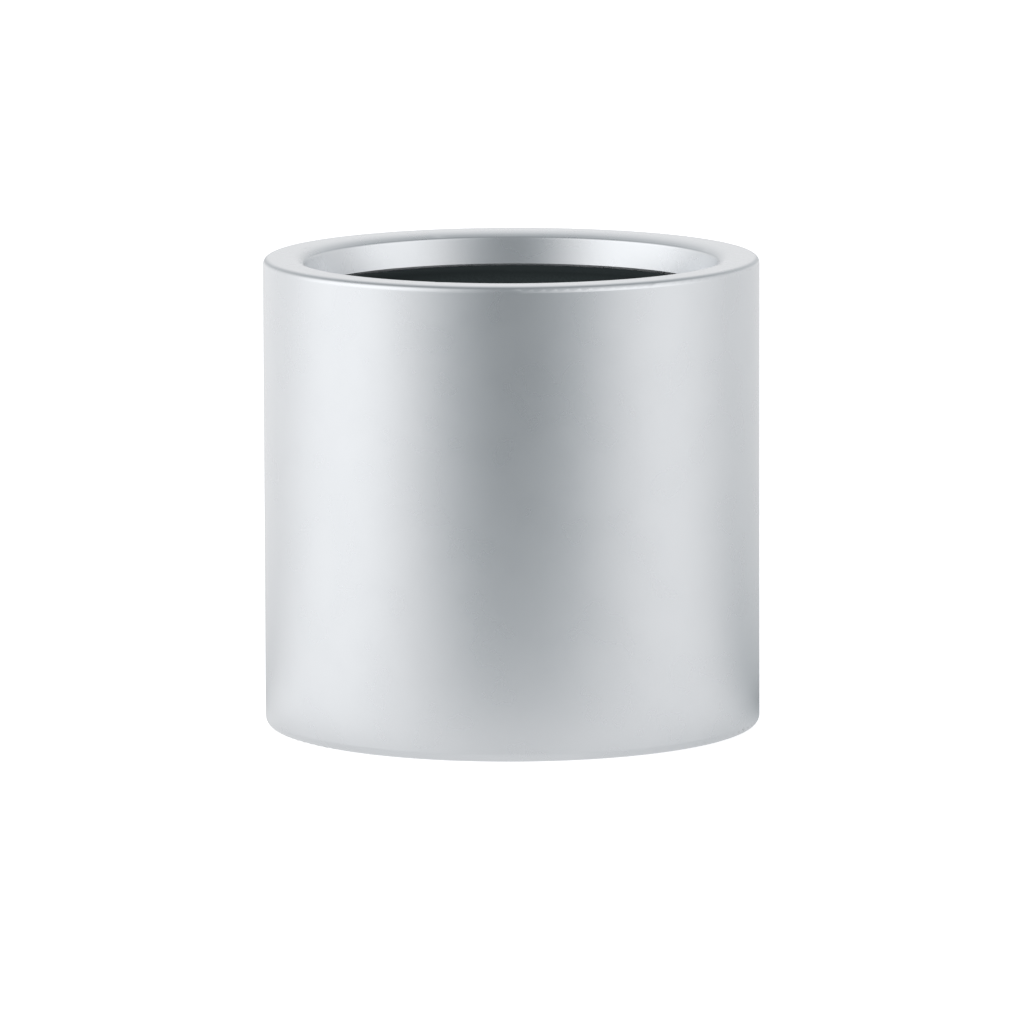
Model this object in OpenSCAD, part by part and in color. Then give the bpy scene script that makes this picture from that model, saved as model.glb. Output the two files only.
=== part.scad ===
// Double-walled candle tin: a lacquered outer shell closed by a flat rim ring, and a black
// seamless cup for the wax that hangs in the ring by its curled edge and lifts out.
// Every piece is a body of revolution about +Z, and the tin stands on z = 0.

/* [Shell] */
// Outer diameter of the tin
body_d = 90; // [80:1:120]
// Height from the standing surface to the top of the rim
body_h = 85.5; // [70:0.5:120]
// Thickness of the shell's sheet
wall_t = 1; // [0.8:0.1:1.2]
// Outside radius of the corner between wall and base
base_r = 1.5; // [1.3:0.1:3]
// Width of the flat ring between that corner and the recess in the base
foot_w = 2.8; // [2:0.1:4]

/* [Rim ring] */
// Width of the rim, from the outside of the tin to the top of the mouth's wall
rim_w = 7.5; // [6.5:0.1:10]
// Thickness of the ring's flat
rim_t = 1.4; // [1.3:0.1:2]
// Thickness of the ring's ledge and spigot
seat_t = 1; // [1:0.05:1.2]
// Radius of the rim's outer edge
rim_edge_r = 1.2; // [0.8:0.1:1.2]
// Radius of the broad fall from the rim's flat towards the mouth
crown_r = 4; // [3:0.5:5]
// Radius of the tighter bend after it, down into the mouth
mouth_edge_r = 0.8; // [0.6:0.1:1]
// Lean of the mouth's wall, in degrees from upright: the mouth narrows down to the cup
mouth_lean = 11; // [8:1:14]
// Depth of the cup's edge below the rim
cup_sink = 6; // [5:0.1:8]

/* [Cup] */
// Thickness of the cup's sheet
cup_t = 0.5; // [0.3:0.05:0.6]
// Diameter of the curled edge that the cup hangs by
curl_d = 2; // [1.8:0.1:2.2]
// Outside radius of the corner between the cup's wall and its base
cup_corner_r = 4; // [2:0.5:8]
// Width of the flat ring that the cup stands on when it is out of the tin
cup_foot_w = 2.8; // [2:0.1:4]

/* [Pads] */
// Thickness of the pad that the tin stands on
base_pad_t = 2.6; // [2.4:0.1:3]
// Height that this pad stands out below the shell
pad_proud = 0.1; // [0.1:0.1:0.6]
// Thickness of the insulating pad on the floor of the shell
floor_pad_t = 2; // [1:0.5:4]
// Thickness of the soft ring that the cup's edge lies on
seat_ring_t = 0.6; // [0.4:0.1:1]

/* [Hidden] */
$fn = 96;

body_r = body_d / 2;
mouth_r = body_r - rim_w;

// Gaps: round the moving cup, under its edge, beside a bonded face, and round or over a loose pad
cup_gap = 0.3;
rest_gap = 0.05;
bond_gap = 0.05;
pad_gap = 0.4;
pad_edge_r = 0.4;

// The step in the shell's base: the inside radius of its bends, and what follows from it
step_r = (base_pad_t - pad_proud - wall_t) / 2;
foot_in_r = body_r - base_r - foot_w;
recess_r = foot_in_r - step_r - wall_t;
floor_z = base_pad_t + wall_t;

// The rim falls towards the mouth until its face is turned up by this many degrees, and there
// the tighter bend takes over
crown_end = 50;
crown_in = crown_r - mouth_edge_r;
mouth_bend_r = mouth_r + mouth_edge_r;
mouth_bend_z = body_h - crown_r + crown_in * sin(crown_end);
flat_in_r = mouth_bend_r + crown_in * cos(crown_end);
fall_end_r = flat_in_r - crown_r * cos(crown_end);

// The mouth's leaning wall starts a hair inside that bend, so that the two join, and ends just
// above the cup's edge
lean_bite = 0.001;
lean_end_h = 0.2;
lean_top_r = mouth_bend_r - (mouth_edge_r - lean_bite) * cos(mouth_lean);
lean_top_z = mouth_bend_z + (mouth_edge_r - lean_bite) * sin(mouth_lean);
cup_top_z = body_h - cup_sink;
lean_end_z = cup_top_z + lean_end_h;

// The seat for the cup: the upright wall round the cup's edge, and the ledge under it
seat_r = lean_top_r - (lean_top_z - lean_end_z) * tan(mouth_lean);
seat_z = cup_top_z - curl_d - rest_gap - seat_ring_t;
cup_r = seat_r - cup_gap - curl_d + cup_t;
ledge_r = cup_r + cup_gap;

// The ring's flat rests on the top edge of the shell
joint_z = body_h - rim_t;

// The cup's underside stays a little above the floor pad, the bends in its base are small, and
// the curl ends a little short of its wall
cup_bottom_z = floor_z + floor_pad_t + pad_gap;
cup_step_r = 0.3;
curl_gap = 0.15;

// A rectangle of the section, between two corners
module slab(r0, z0, r1, z1) {
    polygon([[r0, z0], [r1, z0], [r1, z1], [r0, z1]]);
}

// A quarter disc of the section, about (cr, cz), in the quadrant that the signs sr and sz give
module quarter_disc(cr, cz, r, sr, sz) {
    translate([cr, cz]) intersection() {
        circle(r);
        translate([sr < 0 ? -r : 0, sz < 0 ? -r : 0]) square(r);
    }
}

// A bend of the section, in a sheet of thickness t: a quarter ring with outside radius r
module bend(cr, cz, r, t, sr, sz) {
    difference() {
        quarter_disc(cr, cz, r, sr, sz);
        translate([cr, cz]) circle(r - t);
    }
}

// Section of a drawn base: the outer corner, the foot ring and the panel stepped up inside it
module drawn_base(r, z, t, corner_r, foot, bend_in) {
    bend_out = bend_in + t;
    foot_in = r - corner_r - foot;
    panel_r = foot_in - bend_out - bend_in;
    panel_z = z + bend_out + bend_in;
    bend(r - corner_r, z + corner_r, corner_r, t, 1, -1);
    slab(foot_in, z, r - corner_r, z + t);
    bend(foot_in, z + bend_out, bend_out, t, -1, -1);
    bend(panel_r, z + bend_out, bend_out, t, 1, 1);
    slab(0, panel_z, panel_r, panel_z + t);
}

// Section of a disc with a round edge, top and bottom
module soft_disc(r, z0, z1, edge_r) {
    slab(0, z0, r - edge_r, z1);
    slab(0, z0 + edge_r, r, z1 - edge_r);
    for (z = [z0 + edge_r, z1 - edge_r]) translate([r - edge_r, z]) circle(edge_r);
}

// Drawn sheet-metal cup that makes the outside wall and the base of the tin
module outer_shell() {
    color("silver") rotate_extrude() {
        slab(body_r - wall_t, pad_proud + base_r, body_r, joint_z);
        drawn_base(body_r, pad_proud, wall_t, base_r, foot_w, step_r);
    }
}

// Ring that closes the gap between shell and cup: the rim, the leaning wall of the mouth, the
// ledge that the cup hangs on, and a spigot that is bonded inside the top of the shell
module rim_ring() {
    edge_r = body_r - rim_edge_r;
    edge_z = body_h - rim_edge_r;
    spigot_r = body_r - wall_t - bond_gap;
    seat_out_r = seat_r + seat_t;
    ledge_z = seat_z - seat_t;
    color("silver") rotate_extrude() {
        slab(flat_in_r, joint_z, edge_r, body_h);
        slab(flat_in_r, joint_z, body_r, edge_z);
        quarter_disc(edge_r, edge_z, rim_edge_r, 1, 1);
        intersection() {
            translate([flat_in_r, body_h - crown_r]) circle(crown_r);
            slab(fall_end_r, joint_z, edge_r, body_h);
        }
        quarter_disc(mouth_bend_r, mouth_bend_z, mouth_edge_r, -1, 1);
        slab(spigot_r - seat_t, ledge_z, spigot_r, joint_z);
        polygon([[lean_top_r, lean_top_z], [seat_r, lean_end_z], [seat_r, seat_z],
                 [ledge_r, seat_z], [ledge_r, ledge_z], [seat_out_r, ledge_z],
                 [seat_out_r, lean_end_z], [mouth_bend_r, mouth_bend_z]]);
    }
}

// Soft ring on the ledge, between the ring and the hot cup
module seat_ring() {
    end_r = seat_ring_t / 2;
    mid_z = seat_z + end_r;
    inner = ledge_r + end_r + bond_gap;
    outer = seat_r - end_r - bond_gap;
    color("dimgray") rotate_extrude() {
        slab(inner, seat_z, outer, seat_z + seat_ring_t);
        for (r = [inner, outer]) translate([r, mid_z]) circle(end_r);
    }
}

// Seamless drawn cup for the wax, with its edge curled outwards and down
module inner_cup() {
    curl_r = curl_d / 2;
    curl_z = cup_top_z - curl_r;
    curl_mid_r = cup_r - cup_t + curl_r;
    color("black") rotate_extrude() {
        slab(cup_r - cup_t, cup_bottom_z + cup_corner_r, cup_r, curl_z);
        drawn_base(cup_r, cup_bottom_z, cup_t, cup_corner_r, cup_foot_w, cup_step_r);
        translate([curl_mid_r, curl_z]) difference() {
            circle(curl_r);
            circle(curl_r - cup_t);
            translate([-curl_r, -curl_r]) square([cup_t + curl_gap, curl_r]);
        }
    }
}

// Insulating pad under the cup, on the floor of the shell
module floor_pad() {
    color("darkslategray") rotate_extrude()
        soft_disc(recess_r - pad_gap, floor_z, floor_z + floor_pad_t, pad_edge_r);
}

// Pad in the recess of the base, which the tin stands on
module base_pad() {
    color("dimgray") rotate_extrude() soft_disc(recess_r - pad_gap, 0, base_pad_t, pad_edge_r);
}

outer_shell();
rim_ring();
seat_ring();
inner_cup();
floor_pad();
base_pad();
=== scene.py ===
import math

import bmesh
import bpy
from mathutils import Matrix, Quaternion, Vector, noise


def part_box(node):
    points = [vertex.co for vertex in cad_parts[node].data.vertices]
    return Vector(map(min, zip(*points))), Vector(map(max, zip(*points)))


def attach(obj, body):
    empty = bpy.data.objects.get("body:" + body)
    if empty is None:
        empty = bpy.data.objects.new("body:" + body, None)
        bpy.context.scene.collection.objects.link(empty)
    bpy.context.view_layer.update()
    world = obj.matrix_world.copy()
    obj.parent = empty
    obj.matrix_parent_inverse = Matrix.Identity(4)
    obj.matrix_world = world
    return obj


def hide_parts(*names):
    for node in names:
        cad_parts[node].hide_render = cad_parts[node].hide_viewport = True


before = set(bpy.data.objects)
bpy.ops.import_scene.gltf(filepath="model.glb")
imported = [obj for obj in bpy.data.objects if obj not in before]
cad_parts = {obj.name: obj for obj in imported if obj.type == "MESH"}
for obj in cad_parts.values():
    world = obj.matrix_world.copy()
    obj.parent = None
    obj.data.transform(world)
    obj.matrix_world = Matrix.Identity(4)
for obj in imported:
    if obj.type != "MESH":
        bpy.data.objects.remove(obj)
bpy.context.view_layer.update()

MM = 0.001


# ---------------------------------------------------------------- sizes, from the frame
BODY_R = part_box("outer_shell")[1].x
BODY_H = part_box("rim_ring")[1].z
CUP_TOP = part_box("inner_cup")[1].z

# Soft pieces stay this far inside their CAD solids
SKIN = 0.01 * MM

# Fixed direction from the tin to the camera, which the camera and the dark band share
CAMERA_UP = math.radians(8.35)
TO_CAMERA = Vector((0, -math.cos(CAMERA_UP), math.sin(CAMERA_UP)))


# ---------------------------------------------------------------- node helpers
def new_material(name):
    """An empty node material with its Principled shader, wired to the output."""
    material = bpy.data.materials.new(name)
    material.use_nodes = True
    tree = material.node_tree
    tree.nodes.clear()
    output = tree.nodes.new("ShaderNodeOutputMaterial")
    shader = tree.nodes.new("ShaderNodeBsdfPrincipled")
    tree.links.new(shader.outputs["BSDF"], output.inputs["Surface"])
    return material, tree, shader


def node(tree, kind, inputs=None, **settings):
    """A node with its settings, and its inputs set to numbers or linked to sockets."""
    made = tree.nodes.new(kind)
    for name, value in settings.items():
        setattr(made, name, value)
    for key, value in (inputs or {}).items():
        if isinstance(value, bpy.types.NodeSocket):
            tree.links.new(value, made.inputs[key])
        else:
            made.inputs[key].default_value = value
    return made


def math_node(tree, operation, a, b=0.0, clamp=False):
    return node(tree, "ShaderNodeMath", {0: a, 1: b}, operation=operation, use_clamp=clamp).outputs[0]


def ramp(tree, value, low, high, to_low, to_high):
    """value from low to high, mapped smoothly to to_low and to_high."""
    inputs = {"Value": value, "From Min": low, "From Max": high, "To Min": to_low, "To Max": to_high}
    made = node(tree, "ShaderNodeMapRange", inputs, interpolation_type="SMOOTHSTEP")
    return made.outputs["Result"]


def mix_colour(tree, share, a, b):
    made = node(tree, "ShaderNodeMix", data_type="RGBA")
    for key, value in ((0, share), (6, a), (7, b)):
        if isinstance(value, bpy.types.NodeSocket):
            tree.links.new(value, made.inputs[key])
        else:
            made.inputs[key].default_value = value
    return made.outputs[2]


def grain(tree, place, size, detail=2.0):
    """Noise from 0 to 1, with features of that size in metres."""
    inputs = {"Vector": place, "Scale": 1.0 / size, "Detail": detail}
    return node(tree, "ShaderNodeTexNoise", inputs).outputs["Fac"]


def part_of(tree, vector, axis):
    """One coordinate of a vector."""
    return node(tree, "ShaderNodeSeparateXYZ", {0: vector}).outputs[axis]


def object_place(tree):
    return node(tree, "ShaderNodeTexCoord").outputs["Object"]


def axis_distance(tree, place):
    """Distance of a point from the tin's axis."""
    flat = node(tree, "ShaderNodeVectorMath", {0: place, 1: (1, 1, 0)}, operation="MULTIPLY").outputs[0]
    return node(tree, "ShaderNodeVectorMath", {0: flat}, operation="LENGTH").outputs["Value"]


def azimuth(tree, place):
    """Angle of a point or direction round the axis, in degrees: 0 in front, 90 on the right."""
    parts = node(tree, "ShaderNodeSeparateXYZ", {0: place}).outputs
    front = math_node(tree, "MULTIPLY", parts["Y"], -1.0)
    return math_node(tree, "DEGREES", math_node(tree, "ARCTAN2", parts["X"], front))


def bump(tree, height, distance, strength=1.0):
    inputs = {"Height": height, "Strength": strength, "Distance": distance}
    return node(tree, "ShaderNodeBump", inputs).outputs["Normal"]


# ---------------------------------------------------------------- materials
def silver_lacquer():
    """Fine metallic lacquer under a satin clear coat."""
    material, tree, shader = new_material("silver_lacquer")
    place = object_place(tree)
    flake_size, flake_tilt = 0.2 * MM, 0.016
    flakes = node(tree, "ShaderNodeTexVoronoi", {"Vector": place, "Scale": 1.0 / flake_size})
    tilt = node(tree, "ShaderNodeVectorMath", {0: flakes.outputs["Color"], 1: (0.5, 0.5, 0.5)},
                operation="SUBTRACT").outputs[0]
    tilt = node(tree, "ShaderNodeVectorMath", {0: tilt, "Scale": flake_tilt}, operation="SCALE").outputs[0]
    normal = node(tree, "ShaderNodeNewGeometry").outputs["Normal"]
    normal = node(tree, "ShaderNodeVectorMath", {0: normal, 1: tilt}, operation="ADD").outputs[0]
    normal = node(tree, "ShaderNodeVectorMath", {0: normal}, operation="NORMALIZE").outputs[0]
    cloud = grain(tree, place, 9 * MM, 3.0)
    share = ramp(tree, cloud, 0.35, 0.65, 0.0, 1.0)
    colour = mix_colour(tree, share, (0.735, 0.752, 0.768, 1), (0.748, 0.765, 0.780, 1))
    tree.links.new(colour, shader.inputs["Base Color"])
    tree.links.new(normal, shader.inputs["Normal"])
    shader.inputs["Metallic"].default_value = 1.0
    tree.links.new(ramp(tree, cloud, 0.3, 0.7, 0.27, 0.29), shader.inputs["Roughness"])
    shader.inputs["Coat Weight"].default_value = 0.5
    shader.inputs["Coat Roughness"].default_value = 0.12
    return material


def black_enamel():
    """Matt baked coating with a fine grain, and painted shade on the curled edge: a darker black near the
    cup's top.
    """
    material, tree, shader = new_material("black_enamel")
    place = object_place(tree)
    fine = grain(tree, place, 0.35 * MM, 2.0)
    body = mix_colour(tree, ramp(tree, fine, 0.35, 0.65, 0.0, 1.0),
                      (0.028, 0.035, 0.036, 1), (0.036, 0.045, 0.046, 1))
    height = part_of(tree, place, "Z")
    # Painted shade: the colour turns a darker black over the top 3 mm of the cup, where the curl sits
    # under the rim
    painted_shade_low, painted_shade_high = CUP_TOP - 3.0 * MM, CUP_TOP - 0.4 * MM
    edge = ramp(tree, height, painted_shade_low, painted_shade_high, 0.0, 1.0)
    colour = mix_colour(tree, edge, body, (0.019, 0.024, 0.025, 1))
    tree.links.new(colour, shader.inputs["Base Color"])
    tree.links.new(ramp(tree, fine, 0.3, 0.7, 0.62, 0.74), shader.inputs["Roughness"])
    shader.inputs["Specular IOR Level"].default_value = 0.05
    tree.links.new(bump(tree, fine, 0.05 * MM, 0.25), shader.inputs["Normal"])
    return material


def silicone():
    """Soft matt silicone with a dusty bloom."""
    material, tree, shader = new_material("silicone")
    place = object_place(tree)
    cloud = grain(tree, place, 2.0 * MM, 4.0)
    fine = grain(tree, place, 0.12 * MM, 2.0)
    colour = mix_colour(tree, ramp(tree, cloud, 0.3, 0.7, 0.0, 1.0),
                        (0.072, 0.072, 0.077, 1), (0.115, 0.115, 0.12, 1))
    tree.links.new(colour, shader.inputs["Base Color"])
    tree.links.new(ramp(tree, cloud, 0.3, 0.7, 0.55, 0.72), shader.inputs["Roughness"])
    tree.links.new(bump(tree, fine, 0.02 * MM, 0.4), shader.inputs["Normal"])
    return material


def insulating_felt():
    """Dense needled felt: light and dark fibres, with the pricks of the needles."""
    material, tree, shader = new_material("insulating_felt")
    place = object_place(tree)
    bent = node(tree, "ShaderNodeTexNoise", {"Vector": place, "Scale": 1.0 / (3 * MM)}).outputs["Color"]
    bent = node(tree, "ShaderNodeVectorMath", {0: bent, "Scale": 2.5 * MM}, operation="SCALE").outputs[0]
    bent = node(tree, "ShaderNodeVectorMath", {0: place, 1: bent}, operation="ADD").outputs[0]
    strands = []
    for stretch in ((1.0, 0.12, 1.0), (0.12, 1.0, 1.0)):
        along = node(tree, "ShaderNodeVectorMath", {0: bent, 1: stretch}, operation="MULTIPLY").outputs[0]
        strands.append(grain(tree, along, 0.22 * MM, 3.0))
    fibre = math_node(tree, "MAXIMUM", strands[0], strands[1])
    pricks = node(tree, "ShaderNodeTexVoronoi", {"Vector": place, "Scale": 1.0 / (2.2 * MM)})
    hole = ramp(tree, pricks.outputs["Distance"], 0.05, 0.28, 0.0, 1.0)
    height = math_node(tree, "MULTIPLY", fibre, hole)
    colour = mix_colour(tree, ramp(tree, height, 0.3, 0.75, 0.0, 1.0),
                        (0.12, 0.12, 0.128, 1), (0.30, 0.30, 0.31, 1))
    tree.links.new(colour, shader.inputs["Base Color"])
    shader.inputs["Roughness"].default_value = 0.95
    tree.links.new(bump(tree, height, 0.25 * MM, 0.8), shader.inputs["Normal"])
    return material


def foam_rubber():
    """Dense closed-cell foam rubber: a skin of small pebbles with fine pores between them."""
    material, tree, shader = new_material("foam_rubber")
    place = object_place(tree)
    pebbles = node(tree, "ShaderNodeTexVoronoi", {"Vector": place, "Scale": 1.0 / (0.8 * MM)},
                   feature="SMOOTH_F1").outputs["Distance"]
    pores = grain(tree, place, 0.15 * MM, 3.0)
    height = math_node(tree, "SUBTRACT", 1.0, math_node(tree, "ADD", pebbles,
                                                        math_node(tree, "MULTIPLY", pores, 0.3)))
    colour = mix_colour(tree, ramp(tree, height, 0.2, 0.8, 0.0, 1.0),
                        (0.018, 0.018, 0.019, 1), (0.045, 0.045, 0.047, 1))
    tree.links.new(colour, shader.inputs["Base Color"])
    tree.links.new(ramp(tree, pores, 0.3, 0.7, 0.75, 0.92), shader.inputs["Roughness"])
    tree.links.new(bump(tree, height, 0.15 * MM, 0.6), shader.inputs["Normal"])
    return material


# ---------------------------------------------------------------- soft pieces
def reach(name):
    """Smallest and largest distance of a CAD node's points from the tin's axis."""
    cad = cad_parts[name]
    distances = [(cad.matrix_world @ vertex.co).xy.length for vertex in cad.data.vertices]
    return min(distances), max(distances)


def lathed(name, profile, segments, shape):
    """A closed mesh turned about the axis from (radius, height) points. A profile that starts and
    ends on the axis makes a disc, any other makes a ring. shape(r, z, angle) moves each point."""
    disc = profile[0][0] == 0
    mesh = bpy.data.meshes.new(name)
    made = bmesh.new()
    rings = []
    for r, z in profile:
        if r == 0:
            rings.append([made.verts.new((0, 0, shape(0, z, 0)[1]))] * segments)
            continue
        ring = []
        for step in range(segments):
            angle = math.tau * step / segments
            ring_r, ring_z = shape(r, z, angle)
            ring.append(made.verts.new((ring_r * math.cos(angle), ring_r * math.sin(angle), ring_z)))
        rings.append(ring)
    pairs = list(zip(rings, rings[1:])) + ([] if disc else [(rings[-1], rings[0])])
    for lower, upper in pairs:
        for step in range(segments):
            after = (step + 1) % segments
            corners = [lower[step], lower[after], upper[after], upper[step]]
            made.faces.new(list(dict.fromkeys(corners))).smooth = True
    bmesh.ops.recalc_face_normals(made, faces=made.faces)
    made.to_mesh(mesh)
    made.free()
    piece = bpy.data.objects.new(name, mesh)
    bpy.context.scene.collection.objects.link(piece)
    return piece


def finish_piece(piece, name, material):
    """The piece stands for the CAD node of that name: it takes the given material, joins the vessel body,
    and the node is hidden.
    """
    piece.data.materials.append(material)
    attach(piece, "vessel")
    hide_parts(name)


def pad_profile(radius, low, high, edge, spacing):
    """Section of a pad, from the middle of its underside round its soft edge to the middle of
    its top."""
    flat = [radius - edge - spacing * step for step in range(int((radius - edge) / spacing))]
    turns = [math.radians(15 * step) for step in range(7)]
    under = [(0, low)] + [(r, low) for r in reversed(flat)]
    corner = [(radius - edge + edge * math.sin(a), low + edge - edge * math.cos(a)) for a in turns[1:]]
    side = [(radius, low + edge + (high - low - 2 * edge) * part / 4) for part in (1, 2, 3)]
    return under + corner + side + [(r, low + high - z) for r, z in reversed(under + corner)]


def lumpy(low, high, depth, size):
    """Moves a pad's points inwards by up to depth, in soft lumps of that size."""
    middle = (low + high) / 2

    def shape(r, z, angle):
        at = Vector((r * math.cos(angle), r * math.sin(angle), z)) / size
        sunk = depth * min(max(0.5 + 0.5 * noise.noise(at), 0.0), 1.0)
        share = (z - middle) / (high - middle)
        return max(r - sunk, 0), z - sunk * share
    return shape


def soft_pad(name, material, edge, depth, size):
    """A pad that fills its CAD disc, with its surface a little uneven."""
    low, high = (corner.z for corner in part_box(name))
    radius = reach(name)[1] - SKIN
    spacing = 1.2 * MM
    profile = pad_profile(radius, low + SKIN, high - SKIN, edge, spacing)
    piece = lathed(name + "_soft", profile, 180, lumpy(low, high, depth, size))
    finish_piece(piece, name, material)


def seat_ring(material):
    """The silicone ring: two shallow grooves above and below, and a fine parting line outside."""
    inner, outer = reach("seat_ring")
    low, high = (corner.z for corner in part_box("seat_ring"))
    half = (high - low) / 2 - SKIN
    middle = (low + high) / 2
    left, right = inner + SKIN + half, outer - SKIN - half
    groove_depth, parting_depth = 0.05 * MM, 0.03 * MM
    flat = []
    steps = 16
    for step in range(steps + 1):
        part = step / steps
        groove = groove_depth * max(0.0, -math.cos(2 * math.tau * part)) if 0 < step < steps else 0.0
        flat.append((left + (right - left) * part, half - groove))
    turns = [math.radians(15 * step) for step in range(1, 12)]
    outside = [(right + half * math.sin(a), half * math.cos(a)) for a in turns]
    outermost = len(outside) // 2
    outside[outermost] = (outside[outermost][0] - parting_depth, 0.0)
    inside = [(left - half * math.sin(a), -half * math.cos(a)) for a in turns]
    loop = flat + outside + [(r, -h) for r, h in reversed(flat)] + inside
    profile = [(r, middle + h) for r, h in loop]
    piece = lathed("seat_ring_soft", profile, 256, lambda r, z, angle: (r, z))
    finish_piece(piece, "seat_ring", material)


# ---------------------------------------------------------------- the studio
def plane(name, z):
    """A level square of the stage, 6 m wide."""
    half = 3.0
    mesh = bpy.data.meshes.new(name)
    mesh.from_pydata([(-half, -half, z), (half, -half, z), (half, half, z), (-half, half, z)],
                     [], [(0, 1, 2, 3)])
    made = bpy.data.objects.new(name, mesh)
    bpy.context.scene.collection.objects.link(made)
    return made


def studio_floor():
    """A plain white floor. What the metal reflects of it is the graded floor below."""
    floor = plane("floor", 0)
    material, tree, shader = new_material("white_floor")
    shader.inputs["Base Color"].default_value = (0.9, 0.9, 0.9, 1)
    shader.inputs["Roughness"].default_value = 0.9
    shader.inputs["Specular IOR Level"].default_value = 0.1
    shader.inputs["Emission Color"].default_value = (1, 1, 1, 1)
    shader.inputs["Emission Strength"].default_value = 0.62
    floor.data.materials.append(material)
    floor.visible_glossy = False


def blend(tree, share, a, b):
    return node(tree, "ShaderNodeMix", {"Factor": share, 2: a, 3: b}).outputs[0]


def around(tree, angle, front, left, left_back, right, right_back, behind, bright_from):
    """Brightness round the tin: dim in front, bright at both sides from that angle on, and a
    little less behind."""
    off_front = math_node(tree, "ABSOLUTE", angle)
    to_left = ramp(tree, math_node(tree, "MULTIPLY", angle, -1.0), 90, 132, left, left_back)
    to_right = ramp(tree, angle, 76, 120, right, right_back)
    side = blend(tree, ramp(tree, angle, -2, 2, 0.0, 1.0), to_left, to_right)
    side = blend(tree, ramp(tree, off_front, 150, 176, 0.0, 1.0), side, behind)
    return blend(tree, ramp(tree, off_front, 3, bright_from, 0.0, 1.0), front, side)


def tinted(tree, level):
    """The level as a light: the dim part of the studio is a little bluer than the bright part."""
    dim, bright = (0.95, 1.01, 1.05, 1), (0.995, 1, 1.012, 1)
    tint = mix_colour(tree, ramp(tree, level, 0.3, 0.9, 0.0, 1.0), dim, bright)
    return node(tree, "ShaderNodeVectorMath", {0: tint, "Scale": level}, operation="SCALE").outputs[0]


def graded_floor():
    """What the metal sees of the floor: bright close by, and dimmer further off in front. Only
    reflections show it."""
    floor = plane("graded_floor", 0)
    material = bpy.data.materials.new("graded_floor")
    material.use_nodes = True
    tree = material.node_tree
    tree.nodes.clear()
    place = object_place(tree)
    angle = azimuth(tree, place)
    away = math_node(tree, "SUBTRACT", axis_distance(tree, place), BODY_R)
    fall, under_edge, full_light = 110 * MM, -5 * MM, 35 * MM
    beyond = math_node(tree, "ADD", math_node(tree, "MAXIMUM", away, 0.0), fall)
    near = math_node(tree, "DIVIDE", fall, beyond)
    close_by = around(tree, angle, front=0.98, left=0.99, left_back=0.60, right=0.84,
                      right_back=0.36, behind=0.60, bright_from=76)
    far_off = around(tree, angle, front=0.20, left=1.16, left_back=0.99, right=0.97,
                     right_back=0.85, behind=0.88, bright_from=76)
    level = blend(tree, near, far_off, close_by)
    shade = ramp(tree, away, under_edge, full_light, 0.8, 1.0)
    level = math_node(tree, "MULTIPLY", level, shade)
    light = node(tree, "ShaderNodeEmission", {"Color": tinted(tree, level), "Strength": 1.0})
    output = node(tree, "ShaderNodeOutputMaterial")
    tree.links.new(light.outputs[0], output.inputs["Surface"])
    floor.data.materials.append(material)
    floor.visible_camera = False
    floor.visible_diffuse = False
    floor.visible_shadow = False


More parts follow.
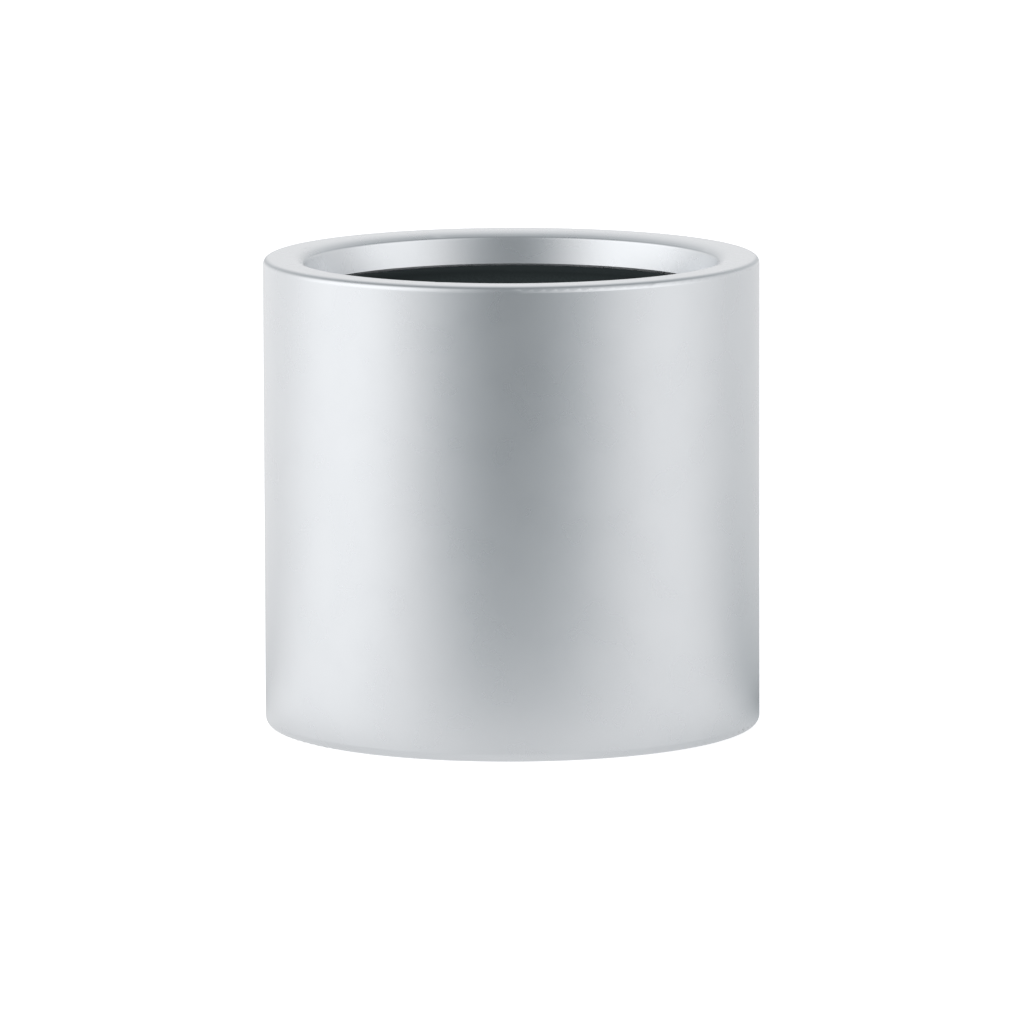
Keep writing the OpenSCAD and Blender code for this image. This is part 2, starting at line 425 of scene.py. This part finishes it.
def studio_world():
    """Soft light from all round, dim in front and bright at the sides and behind, with a dark band.
    The band is what a face turned up by about 35 to 60 degrees reflects to the camera."""
    world = bpy.data.worlds.new("studio")
    world.use_nodes = True
    tree = world.node_tree
    tree.nodes.clear()
    direction = node(tree, "ShaderNodeTexCoord").outputs["Generated"]
    angle = azimuth(tree, direction)
    wall = around(tree, angle, front=0.34, left=1.36, left_back=0.92, right=1.20,
                  right_back=0.80, behind=0.87, bright_from=64)
    halfway = node(tree, "ShaderNodeVectorMath", {0: direction, 1: TO_CAMERA},
                   operation="ADD").outputs[0]
    halfway = node(tree, "ShaderNodeVectorMath", {0: halfway}, operation="NORMALIZE").outputs[0]
    turned_up = part_of(tree, halfway, "Z")
    band = math_node(tree, "MULTIPLY", ramp(tree, turned_up, 0.40, 0.70, 0.0, 1.0),
                     ramp(tree, turned_up, 0.75, 1.0, 1.0, 0.0))
    backward = math_node(tree, "MAXIMUM", part_of(tree, direction, "Y"), 0.0)
    dark = math_node(tree, "ADD", math_node(tree, "MULTIPLY", backward, 0.34), 0.32)
    level = blend(tree, band, wall, dark)
    light = node(tree, "ShaderNodeBackground", {"Color": tinted(tree, level), "Strength": 1.0})
    output = node(tree, "ShaderNodeOutputWorld")
    tree.links.new(light.outputs[0], output.inputs["Surface"])
    bpy.context.scene.world = world


def studio_lamp():
    """A large soft lamp in front, which lights the floor and the black cup."""
    lamp = bpy.data.lights.new("lamp", "AREA")
    lamp.shape = "DISK"
    lamp.size = 1.2
    lamp.energy = 16
    made = bpy.data.objects.new("lamp", lamp)
    made.location = (-0.3, -1.45, 0.85)
    made.rotation_mode = "QUATERNION"
    made.rotation_quaternion = made.location.normalized().to_track_quat("Z", "Y")
    made.visible_glossy = False
    bpy.context.scene.collection.objects.link(made)


def camera():
    """A long lens, a little above the tin and tilted by a hair, that looks just below its middle."""
    distance = 41.3 * BODY_R
    tilt = 0.0031
    below_middle = 4.1 * MM
    aim = Vector((0, 0, BODY_H / 2 - below_middle))
    data = bpy.data.cameras.new("camera")
    data.sensor_width = 36
    data.lens = 359.4
    data.clip_start, data.clip_end = 0.1, 20
    made = bpy.data.objects.new("camera", data)
    made.location = aim + TO_CAMERA * distance
    made.rotation_mode = "QUATERNION"
    made.rotation_quaternion = (-TO_CAMERA).to_track_quat("-Z", "Y") @ Quaternion((0, 0, 1), -tilt)
    bpy.context.scene.collection.objects.link(made)
    bpy.context.scene.camera = made


def finish_node(name, material):
    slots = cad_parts[name].data.materials
    slots.clear()
    slots.append(material)


SILVER = silver_lacquer()
finish_node("outer_shell", SILVER)
finish_node("rim_ring", SILVER)
finish_node("inner_cup", black_enamel())
seat_ring(silicone())
soft_pad("floor_pad", insulating_felt(), edge=0.5 * MM, depth=0.10 * MM, size=4 * MM)
soft_pad("base_pad", foam_rubber(), edge=0.45 * MM, depth=0.04 * MM, size=7 * MM)

studio_floor()
graded_floor()
studio_world()
studio_lamp()
camera()
bpy.context.scene.view_settings.view_transform = "Standard"
